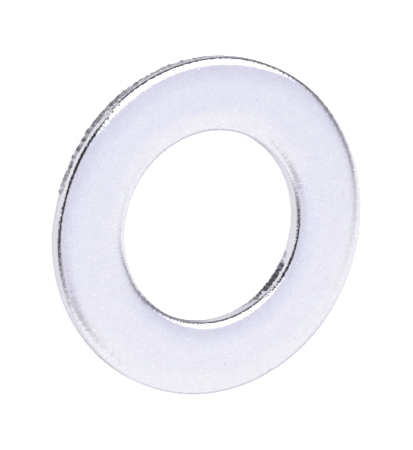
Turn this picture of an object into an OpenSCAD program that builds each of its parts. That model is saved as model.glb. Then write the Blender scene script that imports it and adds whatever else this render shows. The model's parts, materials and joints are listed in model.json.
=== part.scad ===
// Flat washer for an M20 bolt, blanked and pierced from steel strip in one press stroke.
//
// The washer lies on its lower face at z = 0 with the bore's axis on Z. Both edges of
// its upper face are drawn down by the punch and die, each cut wall is smooth and
// cylindrical below that, and the last of the wall breaks away at a slight taper.

/* [Washer] */
// Diameter over the smooth part of the outer wall
outer_d = 37; // [34:1:60]
// Diameter of the bore at the smooth part of its wall
bore_d = 21; // [10:1:24]
// Thickness between the two flat faces
thickness = 2; // [1.6:0.1:4]

/* [Rolled edges of the upper face] */
// Radial width over which the upper face rolls down to a cut wall
roll_w = 2; // [1.4:0.1:2.4]
// Drop from the upper face to the top of the smooth wall
roll_drop = 0.65; // [0.55:0.05:0.8]
// Radius of the tight bend where the rolled face turns into the wall
bend_r = 0.5; // [0.2:0.05:0.5]

/* [Broken edges of the lower face] */
// Height of the tapered wall, where the strip broke away before the cut was through
break_h = 0.5; // [0.2:0.05:0.7]
// How far that taper leans in by the lower face
break_taper = 0.06; // [0.02:0.01:0.12]
// Chamfer that tumbling leaves along the lower edge
tumbled_edge = 0.08; // [0.02:0.01:0.15]

/* [Hidden] */

$fn = 240;

outer_r = outer_d / 2;
bore_r = bore_d / 2;

// Height at which the tight bend meets the smooth wall
wall_top = thickness - roll_drop;
// Radius of the wide arc that leaves the flat face and runs into the tight bend, from
// the right-angled triangle between the two arcs' centres
reach = roll_w - bend_r;
drop = roll_drop - bend_r;
roll_r = bend_r + (pow(reach, 2) + pow(drop, 2)) / (2 * drop);
// Distance from the start of the roll to the point where the two arcs meet
meet_x = roll_r * reach / (roll_r - bend_r);

// Section of one cut edge, from the start of the roll at x = 0 to the wall at x = roll_w
module edge_section() {
    polygon([
        [0, 0],
        [roll_w - break_taper - tumbled_edge, 0],
        [roll_w - break_taper, tumbled_edge],
        [roll_w, break_h],
        [roll_w, wall_top],
        [0, wall_top]
    ]);
    // Wide arc, tangent to the flat face
    intersection() {
        translate([0, thickness - roll_r]) circle(r = roll_r);
        translate([0, wall_top]) square([meet_x, thickness]);
    }
    // Tight bend, tangent to the wide arc and to the wall
    intersection() {
        translate([roll_w - bend_r, wall_top]) circle(r = bend_r);
        translate([meet_x, wall_top]) square([roll_w, thickness]);
    }
}

// Section of the whole ring, with radius along x and height along y
module ring_section() {
    translate([bore_r + roll_w, 0]) square([outer_r - bore_r - 2 * roll_w, thickness]);
    translate([outer_r - roll_w, 0]) edge_section();
    translate([bore_r + roll_w, 0]) mirror([1, 0]) edge_section();
}

module washer() {
    color([0.86, 0.86, 0.92]) rotate_extrude() ring_section();
}

washer();
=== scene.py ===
"""Flat washer in bright zinc-plated steel: the visual model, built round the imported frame.

The washer is one stamped ring. Its mesh is a section swept round the bore's axis, and the
section changes on the way round as it does on a real blanking: both edges of the upper face
are rolled down, the walls below are burnished, and the last of each wall is torn.
Lengths are in metres, and angles in radians unless a name or a comment says degrees.
"""

import json
import math
from collections import namedtuple

import bpy
import numpy as np
from mathutils import Matrix, Vector


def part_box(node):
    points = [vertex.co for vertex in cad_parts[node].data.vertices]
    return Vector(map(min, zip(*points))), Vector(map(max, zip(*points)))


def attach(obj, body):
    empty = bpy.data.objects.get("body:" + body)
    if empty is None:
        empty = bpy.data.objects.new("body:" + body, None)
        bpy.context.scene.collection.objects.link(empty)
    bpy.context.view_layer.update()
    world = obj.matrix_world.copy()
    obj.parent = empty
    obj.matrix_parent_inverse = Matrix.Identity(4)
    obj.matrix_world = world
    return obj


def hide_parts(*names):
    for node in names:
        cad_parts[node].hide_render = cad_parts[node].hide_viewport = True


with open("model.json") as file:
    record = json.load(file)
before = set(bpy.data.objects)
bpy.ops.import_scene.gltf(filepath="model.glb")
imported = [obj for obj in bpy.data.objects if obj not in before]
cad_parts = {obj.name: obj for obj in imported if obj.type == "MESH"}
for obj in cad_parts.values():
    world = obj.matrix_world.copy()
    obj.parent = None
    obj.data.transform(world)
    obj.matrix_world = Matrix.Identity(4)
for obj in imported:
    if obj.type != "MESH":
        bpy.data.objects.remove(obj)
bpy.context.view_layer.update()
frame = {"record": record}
MM = 0.001
QUARTER_TURN = math.pi / 2
FULL_TURN = 2 * math.pi

# ---------------------------------------------------------------- sizes from the frame
NODE = "washer"
LOW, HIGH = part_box(NODE)
THICKNESS = HIGH.z - LOW.z
OUTER_R = (HIGH.x - LOW.x) / 2
BORE_R = next(m for m in frame["record"]["mounts"] if m["name"] == "bore")["dims"]["r_mm"] * MM

# ---------------------------------------------------------------- the stamped section
ROLL_WIDTH = 2.8 * MM       # how far in from a cut wall the upper face starts to roll down
ROLL_DROP = 0.67 * MM       # from the upper face down to the top of a cut wall
BEND_R = 0.42 * MM          # least radius where the rolled face turns into the wall
DENTED_ROLL = 0.008 * MM    # long unevenness along the rolled edges
GRAINY_ROLL = 0.024 * MM    # fine unevenness where they bend into the wall
DRAG_DEPTH = 0.004 * MM     # lines that the punch and the die drag down the walls
TEAR_HEIGHT = 0.45 * MM     # typical height of the torn band above the lower face
LEAST_TEAR = 0.1 * MM       # least height of that band
MOST_TEAR = 0.96            # and its most, as a share of the wall's height
TEAR_LEAN = 0.05 * MM       # how far the torn band leans in by the lower face
COARSE_TEAR = 0.022 * MM    # broad relief of the torn band
FINE_TEAR = 0.018 * MM      # and its fine relief
PATCH_RELIEF = 2.2          # how much stronger the relief is where the metal tore badly
PROUDEST = 0.03 * MM        # how far a torn peak may stand out from its wall
TUMBLED_EDGE = 0.07 * MM    # rounding of the lower edges
FLAKE_DEPTH = 0.17 * MM     # how far a flake is broken back from a wall at the lower edge
UPPER_DENTS = (150, (0.001 * MM, 0.004 * MM), (0.35 * MM, 1.1 * MM))    # count, depths, sizes
LOWER_DENTS = (110, (0.001 * MM, 0.007 * MM), (0.35 * MM, 1.2 * MM))

# ---------------------------------------------------------------- marks of this washer
# Arcs of the ring in degrees: the middle, half the length, and the fade past each end
OUTER_TORN_ARC = (133, 32, 8)
# This arc gets more fracture and more painted shade in its crevices
OUTER_FRACTURE_AND_SHADE_ARC = (150, 14, 14)
BORE_TORN_ARC = (327, 7, 7)
BORE_TAIL_ARC = (319, 3, 18)
BORE_MARK_ARC = (342, 1, 2)
OUTER_EXTRA_TEAR = 0.85 * MM    # how much taller the torn band is inside those arcs
BORE_EXTRA_TEAR = 0.95 * MM
OUTER_SMALL_FLAKES = 24
BORE_SMALL_FLAKES = 8
# Large flakes of the outer wall: degrees, length, and share of the full depth
OUTER_FLAKES = (
    (84, 2.0 * MM, 0.3),
    (117, 2.6 * MM, 0.3),
    (148, 2.9 * MM, 0.8),
    (157, 3.5 * MM, 0.9),
    (169, 4.6 * MM, 1.0),
)
NICK_AZIMUTH = math.radians(299)
NICK_RADIUS = 18.35 * MM
NICK_DEPTH = 0.07 * MM
NICK_SIZE = 0.30 * MM

# ---------------------------------------------------------------- rows and steps of the mesh
AZIMUTH_STEPS = 1000
FLAT_STEPS = 12
ROLL_STEPS = 18
BURNISHED_STEPS = 5
TORN_STEPS = 11
EDGE_STEPS = 3
UNDER_STEPS = 8
RANDOM_SEED = 20

# ---------------------------------------------------------------- colours of the metal, and painted highlight and shade on it
ZINC_DARK, ZINC_LIGHT = (0.81, 0.805, 0.87), (0.85, 0.85, 0.90)
MOTTLE = (0.73, 0.72, 0.79)
# Painted highlight on small dents of the faces
PAINTED_DENT_HIGHLIGHT = (0.97, 0.97, 0.98)
# Painted shade in small dents of the faces
PAINTED_DENT_SHADE = (0.50, 0.48, 0.50)
FRACTURE = (0.70, 0.69, 0.75)
# Painted shade in the crevices of the torn fracture
PAINTED_CREVICE_SHADE = (0.12, 0.12, 0.14)

# ---------------------------------------------------------------- tones of the studio
PAPER_WALL = (1.05, 1.05, 1.04)
REFLECTOR_LOW, REFLECTOR_HIGH = (0.96, 0.955, 1.06), (0.79, 0.785, 0.89)
REFLECTOR_SHADE = (0.83, 0.825, 0.93)
BACK_WALL = (0.88, 0.88, 0.905)
LOW_CARD = (0.78, 0.78, 0.82)
SIDE_CARD = (0.98, 0.98, 0.98)
SOFTBOX = (2.2, 2.2, 2.2)
BACK_GAP = (0.34, 0.34, 0.36)
SEAM = (0.36, 0.33, 0.35)
FAR_GAP = (0.24, 0.24, 0.25)
NEAR_GAP = (0.03, 0.03, 0.04)
CEILING = (0.13, 0.13, 0.14)
BACKDROP = (1.1, 1.1, 1.1)      # what the lens sees past the washer
FLOOR_DARK, FLOOR_LIGHT = (0.93, 0.93, 0.93), (0.95, 0.95, 0.95)
FLOOR_HALF = 4.0
LIGHT_TABLE = 0.55              # light that comes up through the paper floor, straight into the lens

# ---------------------------------------------------------------- the view
AXIS_TILT = math.radians(30.7)      # between the washer's axis and the line of sight
AXIS_LEAN = math.radians(-22.7)     # which way the axis then points across the picture
VIEW_DISTANCE = 29.06 * OUTER_R
LENS_MM = 400
SENSOR_MM = 36
PICTURE_SHIFT = (-0.325 * MM, 0.118 * MM)   # from the washer's middle to the middle of the picture

CutEdge = namedtuple("CutEdge", "inset height torn rolled width")


# ================================================================ shape
def closed_wave(rng, azimuth, lowest, highest, falloff=0.5):
    """Random wave mostly between -1 and 1, of lowest to highest periods in one turn of the ring."""
    counts = np.arange(lowest, highest + 1)
    sizes = (counts / lowest) ** -falloff
    phases = rng.uniform(0, FULL_TURN, len(counts))
    wave = sizes @ np.cos(np.outer(counts, azimuth) + phases[:, None])
    return wave / (1.6 * np.sqrt((sizes ** 2).sum() / 2))


def rough_sheet(rng, azimuth, rows, layers, lowest, highest, falloff=0.5):
    """Random height over rows x azimuth: independent closed waves, blended from row to row."""
    waves = np.array([closed_wave(rng, azimuth, lowest, highest, falloff) for _ in range(layers)])
    at = np.linspace(0, layers - 1.001, rows)
    base = at.astype(int)
    share = smooth_step((at - base)[:, None])
    return waves[base] * (1 - share) + waves[base + 1] * share


def smooth_step(x):
    x = np.clip(x, 0, 1)
    return x * x * (3 - 2 * x)


def steps_to(end, count):
    """Count even steps from above 0 to the end, as a column."""
    return np.linspace(0, end, count + 1)[1:, None]


def arc_window(azimuth, centre_deg, half_deg, fade_deg):
    """1 inside an arc of the ring, fading to 0 over fade_deg past each end."""
    away = np.degrees(np.abs((azimuth - math.radians(centre_deg) + math.pi) % FULL_TURN - math.pi))
    return 1 - smooth_step((away - half_deg) / fade_deg)


def flake(azimuth, radius, start_deg, length, steep=0.05):
    """Depth 0 to 1 of a flake broken out of a lower edge: a sudden step in, then a slow way out."""
    along = ((azimuth - math.radians(start_deg)) % FULL_TURN) * radius / length
    return smooth_step(along / steep) * (1 - smooth_step((along - 0.3) / 0.7))


def all_flakes(rng, azimuth, radius, placed, count):
    """The large flakes at their places, and count small ones anywhere."""
    depth = np.zeros_like(azimuth)
    for start_deg, length, share in placed:
        depth = np.maximum(depth, share * flake(azimuth, radius, start_deg, length))
    for _ in range(count):
        length = rng.uniform(0.4, 1.6) * MM
        small = flake(azimuth, radius, rng.uniform(0, 360), length, rng.uniform(0.05, 0.4))
        depth = np.maximum(depth, rng.uniform(0.1, 0.4) * small)
    return depth


def rolled_edge(rng, azimuth, width, drop):
    """Inset and height of the rolled edge: an ellipse offset by the bend's radius, dented.

    Its rows are spaced by slope, from the flat face to the upright wall, so that the bend
    gets as many of them as the wide part.
    """
    along = steps_to(1, ROLL_STEPS)
    slope = QUARTER_TURN * along ** 1.8
    across, down = width - BEND_R, drop - BEND_R
    turn = np.arctan2(across * np.sin(slope), down * np.cos(slope))
    inset = across * (1 - np.sin(turn)) + BEND_R * (1 - np.sin(slope))
    height = THICKNESS - down * (1 - np.cos(turn)) - BEND_R * (1 - np.cos(slope))
    dents = DENTED_ROLL * along ** 1.3 * rough_sheet(rng, azimuth, ROLL_STEPS, 6, 30, 180, 0.3)
    grain = GRAINY_ROLL * along ** 2 * rough_sheet(rng, azimuth, ROLL_STEPS, 10, 70, 330, 0.3)
    pushed = (dents + grain) * smooth_step((1 - along) / 0.2)
    return inset + pushed * np.sin(slope), height - pushed * np.cos(slope)


def torn_band_top(rng, azimuth, wall_top, patch, extra_tear, flakes):
    """Height at which the burnished wall ends and the torn band starts."""
    waves = 0.22 * closed_wave(rng, azimuth, 3, 40, 0.4) + 0.10 * closed_wave(rng, azimuth, 60, 220, 0.2)
    broad = closed_wave(rng, azimuth, 15, 120, 0.4)
    narrow = closed_wave(rng, azimuth, 90, 300, 0.2)
    ragged = 1 + 0.35 * broad + 0.25 * narrow
    tear_top = TEAR_HEIGHT * (1 + waves + 0.3 * flakes) + extra_tear * patch * ragged
    return np.clip(tear_top, LEAST_TEAR, MOST_TEAR * wall_top)


def burnished_wall(wall_top, tear_top, drag):
    """Inset and height of the smooth wall."""
    down = steps_to(1, BURNISHED_STEPS)
    return np.abs(drag) * np.sin(QUARTER_TURN * down), wall_top + (tear_top - wall_top) * down


def torn_wall(rng, azimuth, tear_top, drag, relief_scale, flakes):
    """Inset and height of the torn band, which leans in and is broken back at the flakes."""
    down = steps_to(1, TORN_STEPS)
    coarse = rough_sheet(rng, azimuth, TORN_STEPS, 6, 12, 160, 0.3)
    fine = rough_sheet(rng, azimuth, TORN_STEPS, 9, 120, 480, 0.1)
    relief = (COARSE_TEAR * coarse + FINE_TEAR * fine) * relief_scale
    inset = TEAR_LEAN * down + FLAKE_DEPTH * flakes * down ** 0.7
    inset = np.maximum(inset + relief * np.minimum(1, 3 * down) + np.abs(drag), -PROUDEST)
    return inset, tear_top + (TUMBLED_EDGE - tear_top) * down


def tumbled_edge(wall_inset):
    """Inset and height of the rounding that leads from the wall's foot to the lower face."""
    turn = steps_to(QUARTER_TURN, EDGE_STEPS)
    height = TUMBLED_EDGE * (1 - np.sin(turn)) * np.ones_like(wall_inset)
    return wall_inset + TUMBLED_EDGE * (1 - np.cos(turn)), height


def cut_edge(rng, azimuth, patch, extra_tear, calm, fracture_and_shade, flakes):
    """One cut edge from the flat upper face down to the flat lower face.

    patch is 1 where the metal tore badly and 0 elsewhere, extra_tear is how much taller the
    torn band is there, calm scales its relief elsewhere, stain is how much fracture, with its
    roughness, relief and painted crevice shade, the torn band gets, and flakes is how far the
    wall is broken back.
    The result's arrays are rows x azimuth: inset (into the metal from the cut radius), height,
    torn and rolled (0 to 1). Its width is the roll's at each azimuth.
    """
    sway = closed_wave(rng, azimuth, 2, 9)
    ripple = closed_wave(rng, azimuth, 20, 90)
    width = ROLL_WIDTH * (1 + 0.05 * sway + 0.015 * ripple)
    drop = ROLL_DROP * (1 + 0.05 * closed_wave(rng, azimuth, 2, 12))
    roll = rolled_edge(rng, azimuth, width, drop)
    wall_top = THICKNESS - drop
    tear_top = torn_band_top(rng, azimuth, wall_top, patch, extra_tear, flakes)
    drag = DRAG_DEPTH * closed_wave(rng, azimuth, 40, 260, 0.2)
    burnished = burnished_wall(wall_top, tear_top, drag)
    torn = torn_wall(rng, azimuth, tear_top, drag, calm + (PATCH_RELIEF - calm) * patch, flakes)
    edge = tumbled_edge(torn[0][-1])
    inset, height = (np.concatenate(rows) for rows in zip(roll, burnished, torn, edge))

    torn_rows = np.repeat([0, 1, 0.5], [ROLL_STEPS + BURNISHED_STEPS, TORN_STEPS, EDGE_STEPS])[:, None]
    # Share of fracture colour, roughness, relief and painted crevice shade along the ring
    fracture_and_shade_share = np.clip(0.08 + fracture_and_shade * (1 + 0.25 * closed_wave(rng, azimuth, 30, 260, 0.2)), 0, 1)
    rolled_rows = np.ones_like(torn_rows)
    rolled_rows[:ROLL_STEPS] = steps_to(1, ROLL_STEPS)
    return CutEdge(inset, height, torn_rows * fracture_and_shade_share, rolled_rows * np.ones_like(azimuth), width)


def outer_edge(rng, azimuth):
    patch = arc_window(azimuth, *OUTER_TORN_ARC)
    # The torn patch and the arc past it get more fracture and more painted crevice shade
    fracture_and_shade = 0.10 * patch + 0.52 * arc_window(azimuth, *OUTER_FRACTURE_AND_SHADE_ARC)
    flakes = all_flakes(rng, azimuth, OUTER_R, OUTER_FLAKES, OUTER_SMALL_FLAKES)
    return cut_edge(rng, azimuth, patch, OUTER_EXTRA_TEAR, 0.6, fracture_and_shade, flakes)


def bore_edge(rng, azimuth):
    patch = np.maximum(arc_window(azimuth, *BORE_TORN_ARC), 0.6 * arc_window(azimuth, *BORE_MARK_ARC))
    patch = np.maximum(patch, 0.8 * arc_window(azimuth, *BORE_TAIL_ARC))
    flakes = all_flakes(rng, azimuth, BORE_R, (), BORE_SMALL_FLAKES)
    return cut_edge(rng, azimuth, patch, BORE_EXTRA_TEAR, 0.4, patch, flakes)


def dent(x, y, azimuth, radius, across):
    """Round dent at a place on the ring: 1 at its middle, fading outward."""
    away = ((x - radius * math.cos(azimuth)) ** 2 + (y - radius * math.sin(azimuth)) ** 2) / across ** 2
    return np.exp(-away)


def dent_field(rng, x, y, count, depths, sizes):
    """Shallow dents anywhere on the ring: how far each point is pushed in."""
    pushed = np.zeros_like(x)
    for _ in range(count):
        hollow = dent(x, y, rng.uniform(0, FULL_TURN), rng.uniform(BORE_R, OUTER_R), rng.uniform(*sizes))
        pushed += rng.uniform(*depths) * hollow
    return pushed


def tumbled_faces(rng, x, y, height):
    """The heights after tumbling, which dents both faces and nicks the upper one."""
    facing_up = smooth_step((height / THICKNESS - 0.6) / 0.2)
    facing_down = 1 - smooth_step(height / THICKNESS / 0.02)
    nick = NICK_DEPTH * dent(x, y, NICK_AZIMUTH, NICK_RADIUS, NICK_SIZE)
    height = height - facing_up * dent_field(rng, x, y, *UPPER_DENTS)
    height = height - facing_up * nick
    return height + facing_down * dent_field(rng, x, y, *LOWER_DENTS)


def build_ring():
    """The ring's closed mesh, with how torn and how rolled the metal is at each point.

    Its rows run over the upper face from the bore, down the outer wall, under the washer and
    up the wall of the bore.
    """
    rng = np.random.default_rng(RANDOM_SEED)
    azimuth = np.arange(AZIMUTH_STEPS) * FULL_TURN / AZIMUTH_STEPS
    outer = outer_edge(rng, azimuth)
    bore = bore_edge(rng, azimuth)

    outer_r, bore_r = OUTER_R - outer.inset, BORE_R + bore.inset
    flat_start, flat_end = BORE_R + bore.width, OUTER_R - outer.width
    flat_r = flat_start + (flat_end - flat_start) * np.linspace(0, 1, FLAT_STEPS + 1)[:, None]
    under_r = outer_r[-1] + (bore_r[-1] - outer_r[-1]) * np.linspace(0, 1, UNDER_STEPS + 2)[1:-1, None]
    flat, under = np.zeros_like(flat_r), np.zeros_like(under_r)

    radius = np.concatenate([flat_r, outer_r, under_r, bore_r[::-1]])
    height = np.concatenate([flat + THICKNESS, outer.height, under, bore.height[::-1]])
    torn = np.concatenate([flat, outer.torn, under, bore.torn[::-1]])
    rolled = np.concatenate([flat, outer.rolled, under, bore.rolled[::-1]])
    x, y = radius * np.cos(azimuth), radius * np.sin(azimuth)
    height = tumbled_faces(rng, x, y, height)
    return ring_mesh(np.stack([x, y, height], axis=2), {"torn": torn, "rolled": rolled})


def ring_mesh(points, attributes):
    """Quads over a grid of rows x azimuth that closes both ways."""
    rows, steps = points.shape[:2]
    index = np.arange(rows * steps).reshape(rows, steps)
    next_row = np.roll(index, -1, axis=0)
    quads = np.stack([index, next_row, np.roll(next_row, -1, axis=1), np.roll(index, -1, axis=1)], axis=2)
    mesh = bpy.data.meshes.new("washer_plated")
    mesh.from_pydata(points.reshape(-1, 3).tolist(), [], quads.reshape(-1, 4).tolist())
    mesh.polygons.foreach_set("use_smooth", [True] * len(mesh.polygons))
    for name, values in attributes.items():
        attribute = mesh.attributes.new(name, "FLOAT", "POINT")
        attribute.data.foreach_set("value", values.reshape(-1).astype(np.float32))
    mesh.update()
    return mesh


# ================================================================ nodes
def add_node(tree, kind, inputs=None, **settings):
    """A node with its settings and inputs; an input is a socket to link or a plain value."""
    made = tree.nodes.new(kind)
    for name, value in settings.items():
        setattr(made, name, value)
    for name, value in (inputs or {}).items():
        if isinstance(value, bpy.types.NodeSocket):
            tree.links.new(value, made.inputs[name])
        else:
            made.inputs[name].default_value = value
    return made


def noise(tree, vector, scale, detail=2.0, roughness=0.5):
    return add_node(tree, "ShaderNodeTexNoise", {
        "Vector": vector, "Scale": scale, "Detail": detail, "Roughness": roughness,
    }).outputs["Fac"]


def spread(tree, value, low, high, to_low=0.0, to_high=1.0, smooth=False):
    """value moved from low..high to to_low..to_high, and held there."""
    return add_node(tree, "ShaderNodeMapRange", {
        "Value": value, "From Min": low, "From Max": high, "To Min": to_low, "To Max": to_high,
    }, interpolation_type="SMOOTHSTEP" if smooth else "LINEAR").outputs["Result"]


def combine(tree, operation, a, b):
    return add_node(tree, "ShaderNodeMath", {0: a, 1: b}, operation=operation).outputs[0]


def add(tree, a, b):
    return combine(tree, "ADD", a, b)


def multiply(tree, a, b):
    return combine(tree, "MULTIPLY", a, b)


def dot_product(tree, a, b):
    made = add_node(tree, "ShaderNodeVectorMath", {0: a, 1: b}, operation="DOT_PRODUCT")
    return made.outputs["Value"]


def stretched(tree, vector, scale):
    return add_node(tree, "ShaderNodeMapping", {"Vector": vector, "Scale": scale}).outputs[0]


def bump(tree, height, distance, normal=None):
    inputs = {"Height": height, "Distance": distance, "Strength": 1.0}
    if normal is not None:
        inputs["Normal"] = normal
    return add_node(tree, "ShaderNodeBump", inputs).outputs[0]


def mix_colour(tree, share, a, b):
    made = add_node(tree, "ShaderNodeMix", {0: share}, data_type="RGBA")
    for slot, value in ((6, a), (7, b)):
        if isinstance(value, bpy.types.NodeSocket):
            tree.links.new(value, made.inputs[slot])
        else:
            made.inputs[slot].default_value = (*value, 1)
    return made.outputs[2]


def point_value(tree, name):
    return add_node(tree, "ShaderNodeAttribute", attribute_name=name).outputs["Fac"]


def object_place(tree):
    return add_node(tree, "ShaderNodeTexCoord").outputs["Object"]


def is_camera_ray(tree):
    return add_node(tree, "ShaderNodeLightPath").outputs["Is Camera Ray"]


# ================================================================ materials
def zinc_colour(tree, place, torn):
    """Clouded, mottled plating, painted highlight and shade on small dents, painted shade in the fracture.
    """
    cloud = spread(tree, noise(tree, place, 1.2, 5, 0.7), 0.35, 0.65)
    colour = mix_colour(tree, cloud, ZINC_DARK, ZINC_LIGHT)
    mottle = spread(tree, noise(tree, place, 4.0, 4, 0.65), 0.36, 0.50, 0.35, 0)
    colour = mix_colour(tree, mottle, colour, MOTTLE)
    # Painted highlight: white flecks where small dents catch the light
    dent_highlight_mask = noise(tree, stretched(tree, place, (1, 2.6, 1)), 2.0, 3, 0.55)
    colour = mix_colour(tree, multiply(tree, spread(tree, dent_highlight_mask, 0.645, 0.675), 0.9), colour, PAINTED_DENT_HIGHLIGHT)
    # Painted shade: grey specks in small dents
    dent_shade_mask = spread(tree, noise(tree, place, 4.5, 2, 0.5), 0.69, 0.74)
    colour = mix_colour(tree, multiply(tree, dent_shade_mask, 0.30), colour, PAINTED_DENT_SHADE)
    # Painted shade: dark colour in the crevices of the fracture, more where it is more torn
    crevice_shade_mask = noise(tree, stretched(tree, place, (1, 1, 0.45)), 3.0, 5, 0.75)
    crevice_shade_mask = spread(tree, add(tree, crevice_shade_mask, multiply(tree, torn, 0.42)), 0.64, 0.84)
    return mix_colour(tree, torn, colour, mix_colour(tree, crevice_shade_mask, FRACTURE, PAINTED_CREVICE_SHADE))


def zinc_roughness(tree, place, torn):
    polished = spread(tree, noise(tree, place, 1.3, 5, 0.65), 0.3, 0.7, 0.10, 0.16)
    return add(tree, polished, multiply(tree, torn, 0.25))


def zinc_normal(tree, place, torn, rolled):
    """Grain that is strongest on the rolled edges, fine nicks, drag lines and the broken metal."""
    grain = multiply(tree, noise(tree, place, 3.6, 3, 0.6), spread(tree, rolled, 0.3, 0.8, 0.12, 1))
    normal = bump(tree, grain, 0.035 * MM)
    nicks = spread(tree, noise(tree, stretched(tree, place, (1, 0.5, 1)), 2.6, 1), 0.74, 0.79)
    normal = bump(tree, nicks, -0.02 * MM, normal)
    drag_lines = noise(tree, stretched(tree, place, (1, 1, 0.06)), 9.0, 2)
    normal = bump(tree, drag_lines, 0.003 * MM, normal)
    fracture = multiply(tree, noise(tree, place, 3.6, 6, 0.75), torn)
    return bump(tree, fracture, 0.15 * MM, normal)


def zinc_plate():
    """Bright zinc with a faint blue passivation over steel that was rolled, stamped and tumbled."""
    material = bpy.data.materials.new("zinc_plate")
    material.use_nodes = True
    tree = material.node_tree
    shader = tree.nodes["Principled BSDF"]
    place = stretched(tree, object_place(tree), (1 / MM,) * 3)
    # torn also sets how much painted crevice shade the fracture gets
    torn, rolled = point_value(tree, "torn"), point_value(tree, "rolled")
    tree.links.new(zinc_colour(tree, place, torn), shader.inputs["Base Color"])
    tree.links.new(zinc_roughness(tree, place, torn), shader.inputs["Roughness"])
    tree.links.new(zinc_normal(tree, place, torn, rolled), shader.inputs["Normal"])
    shader.inputs["Metallic"].default_value = 1
    return material


def floor_paper():
    """Matt white paper with a faint tooth, lit from below as on a light table.

    Only the lens sees it. The metal mirrors the studio in every direction, as if the washer
    hung in an open tent.
    """
    material = bpy.data.materials.new("floor_paper")
    material.use_nodes = True
    tree = material.node_tree
    shader = tree.nodes["Principled BSDF"]
    shader.inputs["Roughness"].default_value = 0.9
    shader.inputs["Specular IOR Level"].default_value = 0.1
    shader.inputs["Emission Color"].default_value = (1, 1, 1, 1)
    shader.inputs["Emission Strength"].default_value = LIGHT_TABLE
    tooth = noise(tree, object_place(tree), 900, 3)
    tree.links.new(mix_colour(tree, tooth, FLOOR_DARK, FLOOR_LIGHT), shader.inputs["Base Color"])
    clear = add_node(tree, "ShaderNodeBsdfTransparent").outputs[0]
    inputs = {0: is_camera_ray(tree), 1: clear, 2: shader.outputs[0]}
    shown = add_node(tree, "ShaderNodeMixShader", inputs).outputs[0]
    tree.links.new(shown, tree.nodes["Material Output"].inputs["Surface"])
    return material


# ================================================================ camera
def view_axes():
    """The picture's right, up and backward directions in the row frame."""
    axis = Vector((
        math.sin(AXIS_TILT) * math.cos(AXIS_LEAN),
        math.sin(AXIS_TILT) * math.sin(AXIS_LEAN),
        math.cos(AXIS_TILT),
    ))
    up = Vector((0, math.sqrt(1 - axis.y ** 2), axis.y))
    right_y = -axis.x * axis.y / up.y
    right = Vector((math.sqrt(1 - axis.x ** 2 - right_y ** 2), right_y, axis.x))
    return right, up, right.cross(up)


def place_camera():
    right, up, back = view_axes()
    target = Vector((0, 0, THICKNESS / 2)) + right * PICTURE_SHIFT[0] + up * PICTURE_SHIFT[1]
    camera = bpy.data.cameras.new("camera")
    camera.lens = LENS_MM
    camera.sensor_width = SENSOR_MM
    camera.sensor_fit = "AUTO"
    camera.clip_start = 0.01
    camera.clip_end = 100
    placed = bpy.data.objects.new("camera", camera)
    turn = Matrix((right, up, back)).transposed().to_4x4()
    placed.matrix_world = Matrix.Translation(target + back * VIEW_DISTANCE) @ turn
    bpy.context.scene.collection.objects.link(placed)
    bpy.context.scene.camera = placed


# ================================================================ studio
# The studio is a sky of soft-edged zones round the washer. A place in it has a longitude, which
# is 0 towards the photographer and grows to the picture's right, and a latitude, which grows
# upward, both in degrees. An edge (a, b, limit, softness) keeps the side of a straight line
# where a * longitude + b * latitude > limit.
def right_of(longitude, softness, lean=0.0):
    """Keeps what is right of a line at that longitude, which moves right by lean for a degree up."""
    return 1, -lean, longitude, softness


def left_of(longitude, softness, lean=0.0):
    return -1, lean, -longitude, softness


def above(latitude, softness, rise=0.0):
    """Keeps what is above a line at that latitude, which goes up by rise for a degree right."""
    return -rise, 1, latitude, softness


def below(latitude, softness, rise=0.0):
    return rise, -1, -latitude, softness


def sky_angles(tree):
    """Longitude and latitude of a world direction in degrees."""
    direction = add_node(tree, "ShaderNodeTexCoord").outputs["Generated"]
    across, up, near = (dot_product(tree, direction, axis) for axis in view_axes())
    longitude = combine(tree, "ARCTAN2", across, near)
    latitude = combine(tree, "ARCSINE", up, 0.0)
    return multiply(tree, longitude, math.degrees(1)), multiply(tree, latitude, math.degrees(1))


def lay(tree, angles, under, colour, edges, opacity=1.0):
    """Lays a colour over the sky inside every edge."""
    share = opacity
    for along, upward, limit, softness in edges:
        place = add(tree, multiply(tree, angles[0], along), multiply(tree, angles[1], upward))
        share = multiply(tree, share, spread(tree, place, limit - softness, limit + softness, smooth=True))
    return mix_colour(tree, share, under, colour)


def lay_reflector(tree, angles, sky):
    """The lavender reflector that the flat face mirrors, darker towards its top and its left end."""
    colour = mix_colour(tree, spread(tree, angles[1], -22, -4), REFLECTOR_LOW, REFLECTOR_HIGH)
    sky = lay(tree, angles, sky, colour, [
        above(-50, 7, rise=0.5), left_of(78, 4, lean=-0.1), below(30, 4), right_of(-30, 6),
    ])
    return lay(tree, angles, sky, REFLECTOR_SHADE, [
        left_of(46, 9), right_of(0, 10), below(-8, 6), above(-31, 4),
    ])


def lay_back(tree, angles, sky):
    """The wall behind the washer, with a low card, a side card and a dark gap."""
    for edge in (left_of(-100, 12), right_of(140, 12)):
        sky = lay(tree, angles, sky, BACK_WALL, [edge])
    sky = lay(tree, angles, sky, LOW_CARD, [right_of(92, 10), left_of(165, 10), below(-26, 8)])
    sky = lay(tree, angles, sky, SIDE_CARD, [
        right_of(-112, 8), left_of(-34, 10), above(0, 4), below(50, 5),
    ])
    for edge in (left_of(-160, 5), right_of(158, 5)):
        sky = lay(tree, angles, sky, BACK_GAP, [edge, above(-14, 5), below(22, 5)])
    return sky


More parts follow.
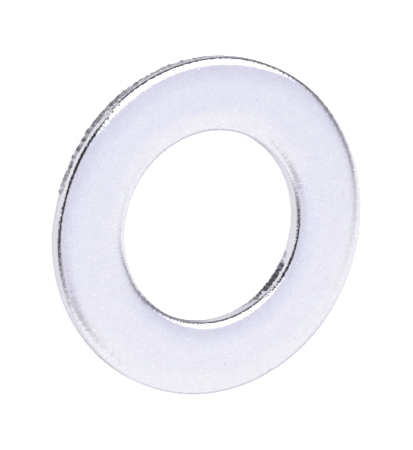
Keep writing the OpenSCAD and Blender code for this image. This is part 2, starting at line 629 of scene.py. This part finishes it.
def lay_gaps(tree, angles, sky):
    """Dark gaps between the panels: seams low down, gaps far to the right, and gaps round the lens."""
    sky = lay(tree, angles, sky, SEAM, [
        above(-44, 3, rise=0.1), below(-27, 4), right_of(-90, 30), left_of(14, 12),
    ], 0.85)
    sky = lay(tree, angles, sky, SEAM, [
        above(-43, 2, rise=0.1), above(-57, 2, rise=0.5), below(-46, 2.5, rise=0.4),
        right_of(6, 8), left_of(49, 3),
    ], 0.7)
    sky = lay(tree, angles, sky, FAR_GAP, [above(-107, 5, rise=1.2), right_of(75, 4, lean=0.1)])
    sky = lay(tree, angles, sky, FAR_GAP, [above(-12, 6, rise=0.25), right_of(90, 5), left_of(165, 10)])
    sky = lay(tree, angles, sky, NEAR_GAP, [
        above(-29, 4), below(-5, 9), right_of(-95, 30), left_of(-4, 8),
    ])
    return lay(tree, angles, sky, NEAR_GAP, [
        right_of(-32, 14, lean=-0.3), above(-20, 7), below(31, 8),
        left_of(24.5, 3, lean=-0.5), left_of(21, 8, lean=0.9),
    ])


def lay_lights(tree, angles, sky):
    """The softbox at the upper right, and a dark ceiling that is lower towards the left."""
    sky = lay(tree, angles, sky, SOFTBOX, [
        right_of(25, 3, lean=-0.5), right_of(31, 3, lean=-1),
        above(-10.5, 2.5, rise=0.2), left_of(69, 3, lean=0.15),
    ])
    sky = lay(tree, angles, sky, CEILING, [above(58, 5)])
    sky = lay(tree, angles, sky, CEILING, [above(68, 7, rise=-0.15), right_of(80, 10)])
    return lay(tree, angles, sky, CEILING, [above(56, 6, rise=0.05), left_of(0, 10)])


def light_studio():
    """A white tent as a world, which the lens sees as a plain white backdrop."""
    world = bpy.data.worlds.new("studio")
    bpy.context.scene.world = world
    world.use_nodes = True
    tree = world.node_tree
    angles = sky_angles(tree)
    sky = lay_reflector(tree, angles, PAPER_WALL)
    sky = lay_back(tree, angles, sky)
    sky = lay_gaps(tree, angles, sky)
    sky = lay_lights(tree, angles, sky)
    sky = mix_colour(tree, is_camera_ray(tree), sky, BACKDROP)
    tree.links.new(sky, tree.nodes["Background"].inputs["Color"])


def lay_floor():
    mesh = bpy.data.meshes.new("floor")
    corners = [(x * FLOOR_HALF, y * FLOOR_HALF, 0) for x, y in ((-1, -1), (1, -1), (1, 1), (-1, 1))]
    mesh.from_pydata(corners, [], [(0, 1, 2, 3)])
    mesh.materials.append(floor_paper())
    floor = bpy.data.objects.new("floor", mesh)
    bpy.context.scene.collection.objects.link(floor)


# ================================================================ put together
def make_washer():
    mesh = build_ring()
    mesh.materials.append(zinc_plate())
    washer = bpy.data.objects.new("washer_plated", mesh)
    bpy.context.scene.collection.objects.link(washer)
    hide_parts(NODE)
    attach(washer, "root")


bpy.context.scene.view_settings.view_transform = "Standard"
place_camera()
light_studio()
lay_floor()
make_washer()
